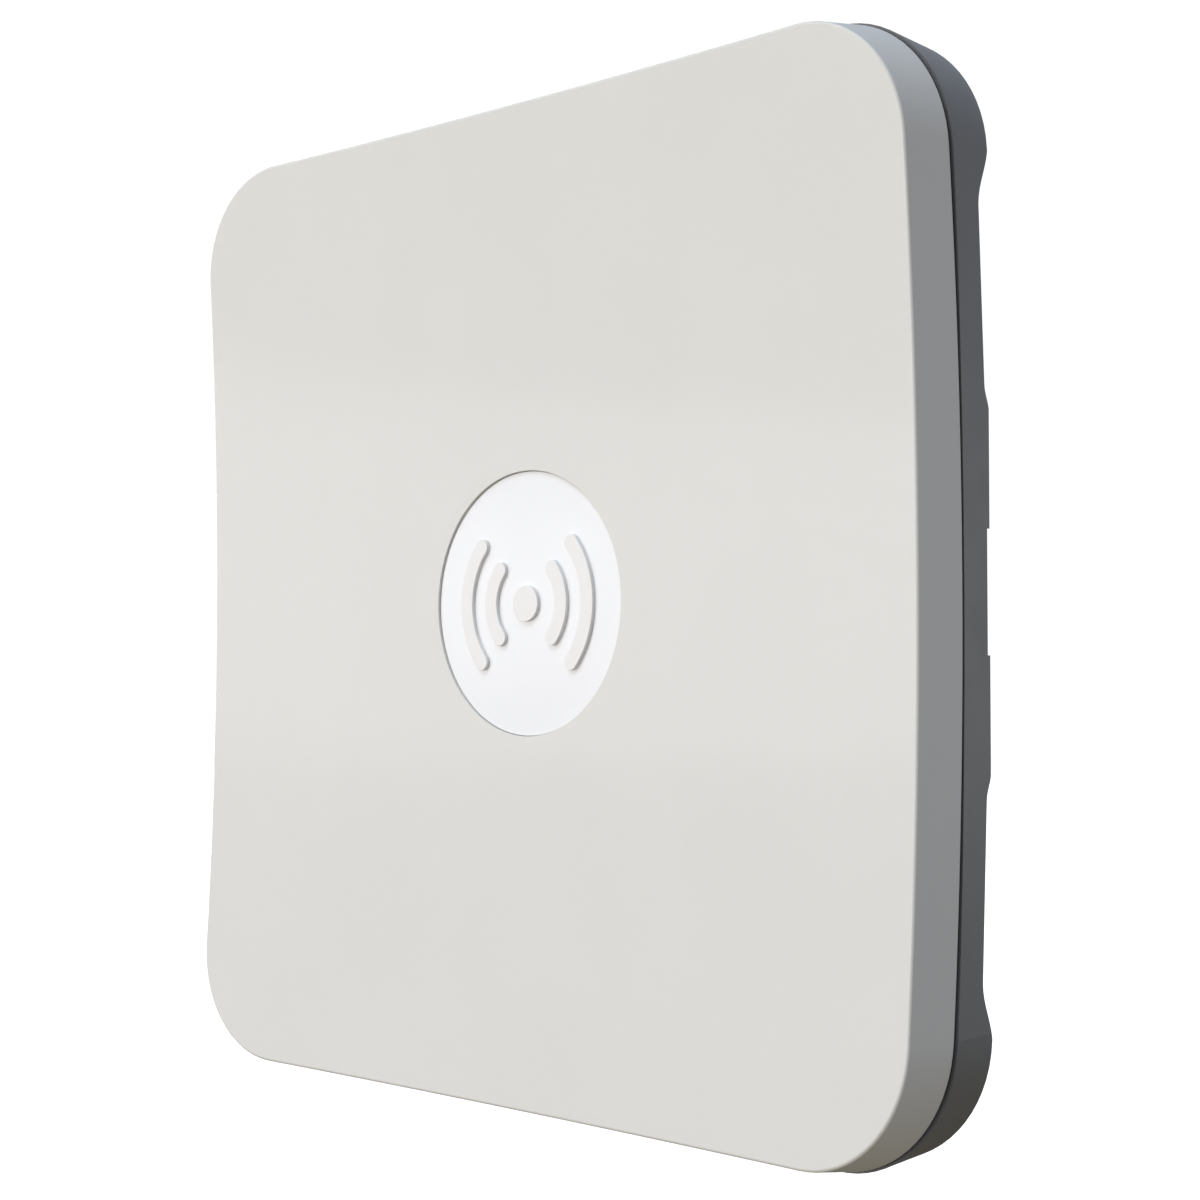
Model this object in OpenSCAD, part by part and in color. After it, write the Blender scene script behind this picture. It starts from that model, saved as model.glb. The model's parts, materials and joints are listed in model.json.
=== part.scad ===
// Flat square access point with a dished front cover, a dark rear shell and a
// slide-on mounting plate. Millimetres. X is right, Z is up, and the front faces -Y.
// The wall or ceiling is the plane y = 0, and the plate's screws are centred on the origin.
// A "stand-off" is a distance in front of that plane, so a stand-off s lies at y = -s.

/* [Body] */
// Overall width and height, measured at the seam
body_w = 180; // [176:1:186]
// Stand-off of the middle of the front face
face_s = 15.4; // [15.2:0.1:16.4]
// Radius of the spherical dish that the front face follows
dish_r = 960; // [900:10:1100]
// Corner radius at the front edge
corner_r = 21.4; // [20:0.2:24]
// Draft of the cover's skirt: how much wider it is at the seam than at the front edge
skirt_draft = 1.4; // [1:0.1:1.8]
// Depth of the cover's skirt, from the front edge to the seam
skirt_depth = 9.6; // [9:0.1:10]
// Gap at the seam, which the gasket fills
seam_gap = 0.6; // [0.4:0.1:0.8]
// Thickness of the front cover
cover_wall = 2; // [1.8:0.1:2]

/* [Rear shell] */
// Stand-off of the pads on the back of the rear shell
pad_s = 2; // [1.8:0.1:2]
// Thickness of the rear shell's walls
shell_wall = 1.8; // [1.6:0.1:1.8]
// Half width of the shallow notch in the middle of each side
notch_half = 9.7; // [8:0.1:11]
// Depth of that notch
notch_depth = 0.7; // [0.4:0.1:1]
// How far each side's middle pads reach from the centre line
pad_half = 27.5; // [26:0.5:29]
// Depth of the scallop next to a middle pad
scallop_in = 1.3; // [1:0.1:1.6]
// Depth of the scallop next to a corner
scallop_out = 2.7; // [2.4:0.1:3]

/* [Mounting plate] */
// Width of the mounting plate
plate_w = 76; // [74:1:78]
// Height of the mounting plate
plate_h = 72; // [70:1:72]
// Thickness of the mounting plate
plate_t = 3.2; // [3:0.1:3.2]
// Distance between the wall screws across
screw_span_x = 60; // [58:1:62]
// Distance between the wall screws up the plate
screw_span_z = 50; // [48:1:54]
// Diameter of the wall screw holes
screw_hole_d = 4.5; // [4:0.1:5]

/* [Badge] */
// Diameter of the round badge
badge_d = 47; // [42:1:52]
// How far the badge lies below the middle of the face
badge_drop = 0.2; // [0:0.1:0.3]
// Height of the raised sign on the badge
sign_h = 0.7; // [0.4:0.1:0.9]

/* [Port bay] */
// Half width of the bay around the cable's plug
bay_half = 17; // [17:0.5:18]
// Height coordinate of the socket's mouth
mouth_z = -67; // [-67.5:0.5:-66.5]
// Diameter of the cable hole in the grommet
cable_hole_d = 5; // [4:0.1:5]

/* [Hidden] */
$fn = 96;

// Small overlaps: one that joins two shapes, and one that cuts clean through
JOIN = 0.01;
CUT = 1;

// Outline shared by the cover and the shell
front_half = body_w / 2 - skirt_draft;
corner_at = front_half - corner_r;
seam_s = face_s - skirt_depth;
ledge_s = seam_s - seam_gap;
seam_side_s = seam_s + pow(body_w / 2, 2) / (2 * dish_r);
skirt_slope = skirt_draft / skirt_depth;
rim_slope = 0.07;
rim_step = 0.15;
far_s = 30;

// Tongue on the shell that centres the cover
tongue_h = 2.5;
tongue_t = 1.3;
tongue_inset = cover_wall + 0.25;
inner_half = body_w / 2 - tongue_inset - tongue_t;
gasket_inset = 0.55;

// Scallops on the back, between the pads and the corners
scallop_ramp = 4.4;
scallop_from = 59.5;
scallop_to = 69;
scallop_run = 27;

// Recess for the mounting plate, long enough for the unit to slide
slide_travel = 12;
recess_s = pad_s + 2;
recess_wall = 1.6;
recess_in_s = recess_s + recess_wall;
recess_half_x = plate_w / 2 + 1;
recess_top = plate_h / 2 + 1;
recess_bottom = -plate_h / 2 - slide_travel - 1.5;
plate_corner_r = 6;

// Pegs on the plate and keyholes in the shell
peg_x = 22;
peg_z = [24, -12];
peg_shank_r = 2.5;
peg_foot_r = 2.1;
peg_head_r = 4.5;
peg_head_t = 1.2;
peg_gap = 0.2;
keyhole_gap = [0.3, 0.5];

// Latch lever and the slot that its wedge rises into
latch_half = 5;
latch_pivot = [1.9, 12];
latch_pin_r = 0.8;
latch_barrel_r = 1.6;
latch_tip_z = -25;
latch_under_s = 2;
latch_turn = 2.2;
latch_gap = 0.6;
latch_slot_z = [-22, -8];

// Port bay, door and cable exit
bay_bottom = -85.6;
bay_floor_s = 13.4;
bay_wall = 1.4;
door_half = bay_half - 0.4;
door_rail = 1.2;
door_top_z = mouth_z + 1.2;
door_s = [pad_s + 0.2, pad_s + 1.5];
door_rail_s = [pad_s + 0.8, pad_s + 1.5];
door_gap = 0.15;
door_ribs = 4;
door_rib_pitch = 2.4;
door_rib_first_z = -78;
door_rib_size = [16, 1, 0.3];
grommet_s = 6.2;
grommet_r = 3;
grommet_flange = 1;

// Modular jack
jack_half = 8;
jack_h = 15.6;
jack_s = [4, 14.4];
jack_sheet_t = 0.35;
jack_play = 0.1;
plug_s = [5.6, 12.2];
plug_half = 5.9;
plug_depth = 12.6;
catch_s = 13.4;
catch_half = 3.1;
contact_count = 8;
contact_pitch = 1.02;
contact_w = 0.4;
contact_t = 0.4;

// Board stack
board_half = 74;
board_corner_r = 6;
board_s = [7.8, 9.4];
sheet_t = 0.5;
sheet_s = board_s[1] + sheet_t;
chip_s = 6.8;
can_t = 0.3;
cpu_at = [0, 15];
cpu_size = [14, 14];
cpu_can_at = [0, 11];
cpu_can_size = [26, 32];
cpu_can_s = recess_in_s + 0.5;
memory_at = [[-7, 1], [6.5, 0.5]];
memory_size = [[8, 8], [9, 7]];
radio_at = [54, 6];
radio_size = [8, 8];
radio_can_at = [54, 7];
radio_can_size = [16, 26];
radio_can_s = 5.4;
patch_at = 40;
patch_half = 17;
patch_trim = 5;
patch_s = [12.4, 12.8];
feed_at = 8;
feed_r = 0.55;
transformer_at = [-26, -59];
transformer_size = [12.5, 10];
transformer_s = 4.4;
inductor_at = [31.5, -62];
inductor_pitch = 11;
inductor_half = 4;
inductor_s = 4.6;
capacitor_at = [24, -53.8];
capacitor_count = 4;
capacitor_pitch = 6;
capacitor_r = 2;
capacitor_s = 4.8;

// Screws, bosses and feet
boss_at = 66;
boss_r = 4.3;
boss_split_s = 9;
case_screw_r = 1.4;
case_head_r = 2.8;
case_head_s = [2.8, 5];
case_screw_end_s = 15.5;
post_at = [58, 34];
post_r = 3;
board_screw_r = 1.1;
board_head_r = 2.4;
board_head_t = 1.4;
foot_at = 77;
foot_r = 5;
foot_sunk = 0.6;
vent_at = [-58, -22];
vent_r = [4, 1.9];
vent_air_at = 2.4;
vent_air_r = 0.5;
label_half = 24;
label_z = [46, 62];
label_t = 0.15;

// Button and lights
button_at = [12.5, 5.8];
button_r = 1.3;
button_flange_r = 1.9;
switch_size = [6, 3.6];
switch_s = 4.4;
led_first_x = 26;
led_pitch = 5;
led_count = 5;
led_z = -73.5;
led_size = [1.6, 0.8];
led_s = 6.6;
pipe_s = 7.3;
pipe_r = 1;
pipe_bar_z = [-84, -82];

// Badge and its sign
badge_t = 0.6;
badge_gap = 0.1;
badge_s = face_s - badge_drop;
sign_dot_r = 3.2;
sign_arc_r = [9, 15.5];
sign_arc_w = 3;
sign_arc_angle = 42;

// ---------- helpers ----------

// Extrudes a flat (x, z) shape between two stand-offs
module layer(s0, s1) {
    translate([0, -s0, 0]) rotate([90, 0, 0]) linear_extrude(height = s1 - s0) children();
}

// Extrudes a flat (-stand-off, z) shape along X, centred
module sideways(w) {
    translate([-w / 2, 0, 0]) rotate([90, 0, 90]) linear_extrude(height = w) children();
}

// Rectangle between two corners, in the (x, z) plane
module rect(x0, x1, z0, z1) {
    translate([x0, z0]) square([x1 - x0, z1 - z0]);
}

// Rectangle with round corners, in the (x, z) plane
module round_rect(x0, x1, z0, z1, r) {
    rect(x0 + r, x1 - r, z0, z1);
    rect(x0, x1, z0 + r, z1 - r);
    for (x = [x0 + r, x1 - r], z = [z0 + r, z1 - r])
        translate([x, z]) circle(r);
}

// Round bar along Y, between two stand-offs
module post(x, z, r, s0, s1) {
    translate([x, -s0, z]) rotate([90, 0, 0]) cylinder(r = r, h = s1 - s0);
}

// Round bar along X, centred
module axle(s, z, r, w) {
    translate([-w / 2, -s, z]) rotate([0, 90, 0]) cylinder(r = r, h = w);
}

// Round bar along Z, at (x, stand-off)
module upright(at, r, z0, z1) {
    translate([at[0], -at[1], z0]) cylinder(r = r, h = z1 - z0);
}

// Slots of a cross-head screw, from stand-off s0 to s1
module cross_slots(r, w, s0, s1) {
    layer(s0, s1) {
        square([2 * r, w], center = true);
        square([w, 2 * r], center = true);
    }
}

// Round-cornered square block whose half width goes from h0 at s0 to h1 at s1
module block(h0, h1, s0, s1) {
    for (x = [-1, 1], z = [-1, 1])
        translate([x * corner_at, -s0, z * corner_at])
            rotate([90, 0, 0]) cylinder(h = s1 - s0, r1 = h0 - corner_at, r2 = h1 - corner_at);
    for (turn = [0, 90])
        rotate([0, turn, 0]) translate([0, 0, -corner_at])
            linear_extrude(height = 2 * corner_at)
                polygon([[-h0, -s0], [h0, -s0], [h1, -s1], [-h1, -s1]]);
}

// Everything in front of the dished surface whose middle is at stand-off s
module dish(s) {
    translate([0, -face_s - dish_r, 0]) sphere(r = dish_r + face_s - s, $fn = 256);
}

// Half width of the cover's skirt, and of the rear shell, at a stand-off
function skirt_half(s) = body_w / 2 - skirt_slope * (s - seam_side_s);
function rim_half(s) = body_w / 2 - rim_step - rim_slope * (seam_side_s - s);

module at_corners(x, z) {
    for (i = [-x, x], j = [-z, z])
        translate([i, 0, j]) children();
}

module at_sides() {
    for (turn = [0, 90, 180, 270])
        rotate([0, turn, 0]) children();
}

// ---------- front cover ----------

// Block with the skirt's draft, smaller than its outside by the inset
module skirt_block(inset, s0, s1) {
    block(skirt_half(s0) - inset, skirt_half(s1) - inset, s0, s1);
}

module cover_bosses() {
    difference() {
        intersection() {
            at_corners(boss_at, boss_at) post(0, 0, boss_r - 0.3, boss_split_s + 0.1, far_s);
            dish(0);
        }
        dish(face_s - cover_wall / 2);
        at_corners(boss_at, boss_at) post(0, 0, case_screw_r + 0.05, boss_split_s, case_screw_end_s + 0.5);
    }
}

module front_cover() color("gainsboro") {
    difference() {
        intersection() {
            skirt_block(0, seam_s, far_s);
            dish(seam_s);
        }
        dish(face_s);
        difference() {
            skirt_block(cover_wall, seam_s - CUT, far_s + CUT);
            dish(face_s - cover_wall);
        }
        post(0, 0, badge_d / 2 + badge_gap, badge_s - badge_t, far_s);
    }
    cover_bosses();
}

// Two arcs of one ring, facing left and right
module ring_arcs(r, w, half_angle) {
    far = 2 * r;
    rise = far * tan(half_angle);
    difference() {
        circle(r + w / 2);
        circle(r - w / 2);
        polygon([[0, 0], [far, rise], [far, 2 * far], [-far, 2 * far], [-far, rise]]);
        polygon([[0, 0], [far, -rise], [far, -2 * far], [-far, -2 * far], [-far, -rise]]);
    }
}

// Flat disc, sunk a little below the face, with a plain raised sign of a dot between arcs
module badge() color("white") {
    post(0, 0, badge_d / 2, badge_s - badge_t, badge_s);
    layer(badge_s - JOIN, badge_s + sign_h) {
        circle(sign_dot_r);
        for (r = sign_arc_r) ring_arcs(r, sign_arc_w, sign_arc_angle);
    }
}

module cover_gasket() color("black") {
    difference() {
        intersection() {
            skirt_block(gasket_inset, 0, far_s);
            dish(ledge_s);
        }
        dish(seam_s);
        skirt_block(tongue_inset - 0.05, -CUT, far_s + CUT);
    }
}

// ---------- rear shell ----------

// Smooth step from 0 to 1
function ease(t) = t * t * (3 - 2 * t);

// One side's scallop between a middle pad and a corner, made larger by g.
// It is deepest at the rim and runs out on the flat of the back.
module scallop(g) {
    under = 6;
    run = scallop_run + 8 * g;
    tilt = atan(scallop_out / scallop_run);
    near_ramp = [for (t = [0 : 0.125 : 1])
        [pad_half - g + t * scallop_ramp, ease(t) * (scallop_in + g)]];
    far_ramp = [for (t = [0 : 0.125 : 1])
        [scallop_from + g + t * (scallop_to - scallop_from), (1 - ease(t)) * (scallop_out + g)]];
    translate([body_w / 2, -pad_s, 0]) rotate([0, 0, -tilt]) translate([-run, 0, 0])
        rotate([180, -90, 0]) linear_extrude(height = run + under)
            polygon(concat([[pad_half - g, -under]], near_ramp, far_ramp, [[scallop_to + g, -under]]));
}

module scallops(g) {
    at_sides() for (flip = [0, 1]) mirror([0, 0, flip]) scallop(g);
}

module side_notches() {
    reach = 9;
    at_sides() layer(0, pad_s + notch_depth)
        rect(body_w / 2 - reach, body_w / 2 + CUT, -notch_half, notch_half);
}

module plate_recess(g) {
    layer(0, recess_s + g)
        round_rect(-recess_half_x - g, recess_half_x + g, recess_bottom - g, recess_top + g,
            plate_corner_r + g);
}

module port_bay(g) {
    layer(0, bay_floor_s + g)
        rect(-bay_half - g, bay_half + g, bay_bottom - g, mouth_z + g);
}

// Room for the door and its rails, open at the lower edge
module door_way() {
    layer(0, door_s[1] + door_gap)
        rect(-door_half - door_gap, door_half + door_gap, -body_w, door_top_z + door_gap);
    layer(door_rail_s[0] - door_gap, door_rail_s[1] + door_gap)
        rect(-door_half - door_rail - door_gap, door_half + door_rail + door_gap,
            -body_w, door_top_z + door_gap);
}

module keyholes() {
    slot_r = peg_shank_r + keyhole_gap[0];
    entry_r = peg_head_r + keyhole_gap[1];
    layer(recess_s - CUT, recess_in_s + CUT)
        for (x = [-peg_x, peg_x], z = peg_z) {
            translate([x, z]) circle(slot_r);
            rect(x - slot_r, x + slot_r, z - slide_travel, z);
            translate([x, z - slide_travel]) circle(entry_r);
        }
}

module latch_slot() {
    layer(recess_s - CUT, recess_in_s + CUT)
        rect(-latch_half - 1, latch_half + 1, latch_slot_z[0], latch_slot_z[1]);
}

// Round-bottomed slot for the grommet, made larger by g and open towards the door
module cable_slot(g, z0, z1) {
    r = grommet_r + g;
    upright([0, grommet_s], r, z0, z1);
    translate([-r, -grommet_s, z0]) cube([2 * r, grommet_s - door_s[1] + g, z1 - z0]);
}

module shell_bosses() {
    root = pad_s + shell_wall / 2;
    at_corners(boss_at, boss_at) post(0, 0, boss_r, root, boss_split_s);
    at_corners(post_at[0], post_at[1]) post(0, 0, post_r, root, board_s[0]);
}

module shell_holes() {
    at_corners(boss_at, boss_at) {
        post(0, 0, case_screw_r + 0.3, 0, far_s);
        post(0, 0, case_head_r + 0.4, 0, case_head_s[1]);
    }
    at_corners(post_at[0], post_at[1])
        post(0, 0, board_screw_r + 0.05, pad_s + shell_wall + 0.2, far_s);
    at_corners(foot_at, foot_at) post(0, 0, foot_r + 0.2, 0, pad_s + foot_sunk);
    post(vent_at[0], vent_at[1], vent_r[0] + 0.1, 0, pad_s + 1);
    post(vent_at[0], vent_at[1], vent_r[1] + 0.1, 0, pad_s + 3);
    for (i = [0 : led_count - 1])
        upright([led_first_x + i * led_pitch, pipe_s], pipe_r + 0.05, -body_w / 2 - CUT, -inner_half + CUT);
    upright(button_at, button_r + 0.1, mouth_z - CUT, mouth_z + bay_wall + CUT);
    layer(jack_s[0] - jack_play, jack_s[1] + jack_play)
        rect(-jack_half - jack_play, jack_half + jack_play, mouth_z - jack_play, mouth_z + bay_wall + CUT);
}

module shell_pan() {
    difference() {
        block(rim_half(pad_s), rim_half(far_s), pad_s, far_s);
        dish(ledge_s);
        difference() {
            block(inner_half, inner_half, pad_s + shell_wall, far_s + CUT);
            scallops(shell_wall);
            plate_recess(recess_wall);
        }
        plate_recess(0);
        scallops(0);
    }
}

module shell_tongue() {
    difference() {
        skirt_block(tongue_inset, seam_s, far_s);
        skirt_block(tongue_inset + tongue_t, seam_s - CUT, far_s + CUT);
        dish(seam_s + tongue_h);
    }
}

module bay_box() {
    difference() {
        layer(pad_s + shell_wall / 2, bay_floor_s + 1.2)
            rect(-bay_half - bay_wall, bay_half + bay_wall, bay_bottom - bay_wall, mouth_z + bay_wall);
        dish(face_s - cover_wall - 0.4);
    }
}

module rear_shell() color("dimgray") {
    difference() {
        union() {
            shell_pan();
            shell_tongue();
            bay_box();
            shell_bosses();
        }
        port_bay(0);
        door_way();
        side_notches();
        keyholes();
        latch_slot();
        cable_slot(0.1, -body_w / 2 - CUT, bay_bottom + CUT);
        shell_holes();
    }
}

module rubber_feet() color("black") {
    at_corners(foot_at, foot_at) post(0, 0, foot_r, 0, pad_s + foot_sunk);
}

module case_screws() color("silver") {
    at_corners(boss_at, boss_at) difference() {
        union() {
            post(0, 0, case_head_r, case_head_s[0], case_head_s[1]);
            post(0, 0, case_screw_r, case_head_s[1] - JOIN, case_screw_end_s);
        }
        cross_slots(1.7, 0.8, 0, case_head_s[0] + 1.3);
    }
}

module rating_label() color("lightgray") {
    layer(pad_s - label_t, pad_s)
        round_rect(-label_half, label_half, label_z[0], label_z[1], 2);
}

module breather_vent() color("black") {
    difference() {
        union() {
            post(vent_at[0], vent_at[1], vent_r[0], pad_s + 0.1, pad_s + 1);
            post(vent_at[0], vent_at[1], vent_r[1], pad_s + 1 - JOIN, pad_s + 3.4);
        }
        for (turn = [0 : 60 : 300])
            translate([vent_at[0], 0, vent_at[1]]) rotate([0, turn, 0])
                post(vent_air_at, 0, vent_air_r, 0, pad_s + 0.7);
    }
}

// Five clear rods through the lower wall, joined by a cross bar inside
module light_pipes() color("white") {
    for (i = [0 : led_count - 1])
        upright([led_first_x + i * led_pitch, pipe_s], pipe_r, -rim_half(pipe_s), led_z - 2.5);
    layer(pipe_s - 0.6, pipe_s + 0.4)
        rect(led_first_x, led_first_x + (led_count - 1) * led_pitch, pipe_bar_z[0], pipe_bar_z[1]);
}

module cable_grommet() color("black") {
    outer_z = -rim_half(grommet_s) + 0.2;
    inner_z = bay_bottom + 1.2;
    difference() {
        union() {
            cable_slot(0, outer_z, inner_z - JOIN);
            cable_slot(grommet_flange, bay_bottom, inner_z);
        }
        upright([0, grommet_s], cable_hole_d / 2, outer_z - CUT, inner_z + CUT);
        layer(0, door_s[1] + 0.05) square([20, 2 * body_w], center = true);
    }
}

// Grip rib across the outside of the door, whose lower edge is at z
module door_rib(z) {
    layer(door_s[0] - door_rib_size[2], door_s[0] + JOIN)
        rect(-door_rib_size[0] / 2, door_rib_size[0] / 2, z, z + door_rib_size[1]);
}

module port_door() color("dimgray") {
    bottom = -rim_half(door_s[0]) + 0.1;
    difference() {
        union() {
            layer(door_s[0], door_s[1]) rect(-door_half, door_half, bottom, door_top_z);
            layer(door_rail_s[0], door_rail_s[1])
                rect(-door_half - door_rail, door_half + door_rail, bottom + 1, door_top_z);
            for (i = [0 : door_ribs - 1]) door_rib(door_rib_first_z + i * door_rib_pitch);
        }
        side_notches();
    }
}

module reset_button() color("white") {
    flange_z = mouth_z + bay_wall + 0.1;
    upright(button_at, button_r, mouth_z - 1.2, flange_z + JOIN);
    upright(button_at, button_flange_r, flange_z, flange_z + 0.8);
}

// ---------- electronics ----------

// Block of an (x, z) size, centred at an (x, z) place, between two stand-offs
module slab(at, size, s0, s1) {
    layer(s0, s1) translate(at) square(size, center = true);
}

// Flat part on the back of the board, reaching out to a stand-off
module chip(at, size, s0) {
    slab(at, size, s0, board_s[0]);
}

// The place on the other side of the middle, for side = -1
function mirrored(at, side) = [side * at[0], at[1]];

module reset_switch() color("darkslategray") {
    body_z = mouth_z + 4.4;
    plunger_r = 1;
    plunger_l = 1.2;
    chip([button_at[0], body_z + switch_size[1] / 2], switch_size, switch_s);
    upright(button_at, plunger_r, body_z - plunger_l, body_z + JOIN);
}

module board_outline(half, gap) {
    bay_gap = 2;
    jack_gap = 0.3;
    difference() {
        round_rect(-half, half, -half, half, board_corner_r);
        for (x = [-boss_at, boss_at], z = [-boss_at, boss_at])
            translate([x, z]) circle(boss_r + gap);
        rect(-bay_half - bay_gap, bay_half + bay_gap, -half - CUT, mouth_z + bay_gap);
        rect(-jack_half - jack_gap, jack_half + jack_gap, mouth_z, mouth_z + jack_h + jack_gap);
    }
}

module main_board() color("darkgreen") {
    difference() {
        layer(board_s[0], board_s[1]) board_outline(board_half, 0.5);
        at_corners(post_at[0], post_at[1])
            post(0, 0, board_screw_r + 0.3, board_s[0] - CUT, board_s[1] + CUT);
    }
}

module at_patches() {
    at_corners(patch_at, patch_at) children();
}

module at_feeds() {
    at_patches() for (x = [-feed_at, feed_at]) translate([x, 0, 0]) children();
}

module ground_plane() color("silver") {
    difference() {
        layer(board_s[1], sheet_s) board_outline(board_half - 3, 1.5);
        at_corners(post_at[0], post_at[1])
            post(0, 0, board_screw_r + 0.3, board_s[1] - CUT, sheet_s + CUT);
        at_feeds() post(0, 0, feed_r + 0.85, board_s[1] - CUT, sheet_s + CUT);
    }
}

module board_screws() color("silver") {
    at_corners(post_at[0], post_at[1]) difference() {
        union() {
            post(0, 0, board_head_r, sheet_s, sheet_s + board_head_t);
            post(0, 0, board_screw_r, pad_s + shell_wall + 0.8, sheet_s + JOIN);
        }
        cross_slots(1.4, 0.7, sheet_s + board_head_t / 2, sheet_s + board_head_t + CUT);
    }
}

// Square patch with two opposite corners cut off
module patch_outline() {
    h = patch_half;
    cut = h - patch_trim;
    polygon([[-h, -h], [cut, -h], [h, -cut], [h, h], [-cut, h], [-h, cut]]);
}

module patch_antennas() color("goldenrod") {
    difference() {
        at_patches() layer(patch_s[0], patch_s[1]) patch_outline();
        at_patches() post(0, 0, 1, patch_s[0] - CUT, patch_s[1] + CUT);
        at_feeds() post(0, 0, feed_r + 0.05, patch_s[0] - CUT, patch_s[1] + CUT);
    }
}

module patch_spacers() color("ivory") {
    at_patches() {
        post(0, 0, 2.5, sheet_s, patch_s[0]);
        post(0, 0, 0.95, patch_s[0] - JOIN, patch_s[1] + 0.2);
    }
}

module feed_pins() color("gold") {
    at_feeds() post(0, 0, feed_r, board_s[1], patch_s[1] + 0.2);
}

module processor_chip() color("black") {
    chip(cpu_at, cpu_size, chip_s);
}

module memory_chips() color("black") {
    for (i = [0, 1]) chip(memory_at[i], memory_size[i], chip_s);
}

// Tin can around a box, open towards the board
module shield(at, size, s0) {
    difference() {
        chip(at, size, s0);
        slab(at, size - [2 * can_t, 2 * can_t], s0 + can_t, board_s[0] + CUT);
    }
}

module processor_shield() color("lightsteelblue") {
    shield(cpu_can_at, cpu_can_size, cpu_can_s);
}

module radio_chips() color("black") {
    for (side = [-1, 1]) chip(mirrored(radio_at, side), radio_size, chip_s);
}

module radio_shields() color("lightsteelblue") {
    for (side = [-1, 1]) shield(mirrored(radio_can_at, side), radio_can_size, radio_can_s);
}

// Soft pads that carry heat from the chips to the cans, and from the cans to the rear shell
module thermal_pads() color("lightblue") {
    cpu_outer = [18, 20];
    radio_outer = [12, 18];
    slab(cpu_at, cpu_outer, recess_in_s, cpu_can_s);
    slab(cpu_at, cpu_size, cpu_can_s + can_t, chip_s);
    for (side = [-1, 1]) {
        slab(mirrored(radio_can_at, side), radio_outer, pad_s + shell_wall, radio_can_s);
        slab(mirrored(radio_at, side), radio_size, radio_can_s + can_t, chip_s);
    }
}

module jack_shell() color("silver") {
    t = jack_sheet_t;
    difference() {
        layer(jack_s[0], jack_s[1]) rect(-jack_half, jack_half, mouth_z, mouth_z + jack_h);
        layer(jack_s[0] + t, jack_s[1] - t)
            rect(-jack_half + t, jack_half - t, mouth_z - CUT, mouth_z + jack_h - t);
    }
}

// Cavity for an eight-contact modular plug, with the channel for its catch
module jack_cavity() {
    top = mouth_z + plug_depth;
    layer(plug_s[0], plug_s[1]) rect(-plug_half, plug_half, mouth_z - CUT, top);
    layer(plug_s[1] - JOIN, catch_s) rect(-catch_half, catch_half, mouth_z - CUT, top);
}

module at_contacts() {
    for (i = [0 : contact_count - 1])
        translate([(i - (contact_count - 1) / 2) * contact_pitch, 0, 0]) children();
}

module jack_insert() color("black") {
    gap = jack_sheet_t + 0.05;
    groove_s = plug_s[0] - 0.7;
    groove_half = contact_w / 2 + 0.08;
    difference() {
        layer(jack_s[0] + gap, jack_s[1] - gap)
            rect(-jack_half + gap, jack_half - gap, mouth_z + 0.3, mouth_z + jack_h - gap);
        jack_cavity();
        at_contacts() layer(groove_s, plug_s[0] + JOIN)
            rect(-groove_half, groove_half, mouth_z - CUT, mouth_z + plug_depth);
    }
}

// Spring contacts: each lies in its groove and bends back into the cavity
module jack_contacts() color("gold") {
    low = plug_s[0] - 0.5;
    high = low + contact_t;
    tip = plug_s[0] + 2;
    root_z = mouth_z + plug_depth - 0.2;
    fold_z = mouth_z + 2;
    tip_z = mouth_z + 9.6;
    at_contacts() sideways(contact_w)
        polygon([[-low, root_z], [-low, fold_z], [-high, fold_z], [-tip, tip_z],
            [-tip + contact_t, tip_z + 0.2], [-high, fold_z + 2.4], [-high, root_z]]);
}

module lan_transformer() color("black") {
    chip(transformer_at, transformer_size, transformer_s);
}

module power_inductors() color("dimgray") {
    h = inductor_half;
    for (side = [-0.5, 0.5])
        translate([inductor_at[0] + side * inductor_pitch, 0, inductor_at[1]])
            layer(inductor_s, board_s[0]) round_rect(-h, h, -h, h, 1.5);
}

module capacitors() color("silver") {
    for (i = [0 : capacitor_count - 1])
        post(capacitor_at[0] + i * capacitor_pitch, capacitor_at[1], capacitor_r, capacitor_s, board_s[0]);
}

module status_leds() color("white") {
    for (i = [0 : led_count - 1]) chip([led_first_x + i * led_pitch, led_z], led_size, led_s);
}

// ---------- mounting plate ----------

module plate_outline(inset) {
    x = plate_w / 2 - inset;
    z = plate_h / 2 - inset;
    round_rect(-x, x, -z, z, plate_corner_r - inset / 2);
}

module at_wall_screws() {
    at_corners(screw_span_x / 2, screw_span_z / 2) children();
}

module at_pegs() {
    for (x = [-peg_x, peg_x], z = peg_z) translate([x, 0, z]) children();
}

// Opening in the plate that the latch lever swings in, made larger by g
module latch_window(g) {
    side = latch_half + latch_gap + g;
    rect(-side, side, latch_tip_z - 1.6 - g, latch_pivot[1] + 2.4 + g);
}

module mounting_plate() color("slategray") {
    web = 1.6;
    rim = 2;
    boss = 5;
    difference() {
        union() {
            difference() {
                layer(0, plate_t) plate_outline(0);
                layer(-CUT, plate_t - web) plate_outline(rim);
            }
            at_wall_screws() post(0, 0, boss, 0, plate_t);
            at_pegs() post(0, 0, boss, 0, plate_t);
            layer(0, plate_t) latch_window(4);
        }
        layer(-CUT, plate_t + CUT) latch_window(0);
        at_wall_screws() post(0, 0, screw_hole_d / 2, -CUT, plate_t + CUT);
        at_pegs() post(0, 0, peg_foot_r, -CUT, plate_t + CUT);
        axle(latch_pivot[0], latch_pivot[1], latch_pin_r, 18);
    }
}

module hanger_pegs() color("silver") {
    head_s = recess_in_s + peg_gap;
    at_pegs() {
        post(0, 0, peg_foot_r - 0.02, 0.4, plate_t + JOIN);
        post(0, 0, peg_shank_r, plate_t, head_s + JOIN);
        post(0, 0, peg_head_r, head_s, head_s + peg_head_t);
    }
}

module latch_pin() color("silver") {
    axle(latch_pivot[0], latch_pivot[1], latch_pin_r - 0.02, 17.6);
}

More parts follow.
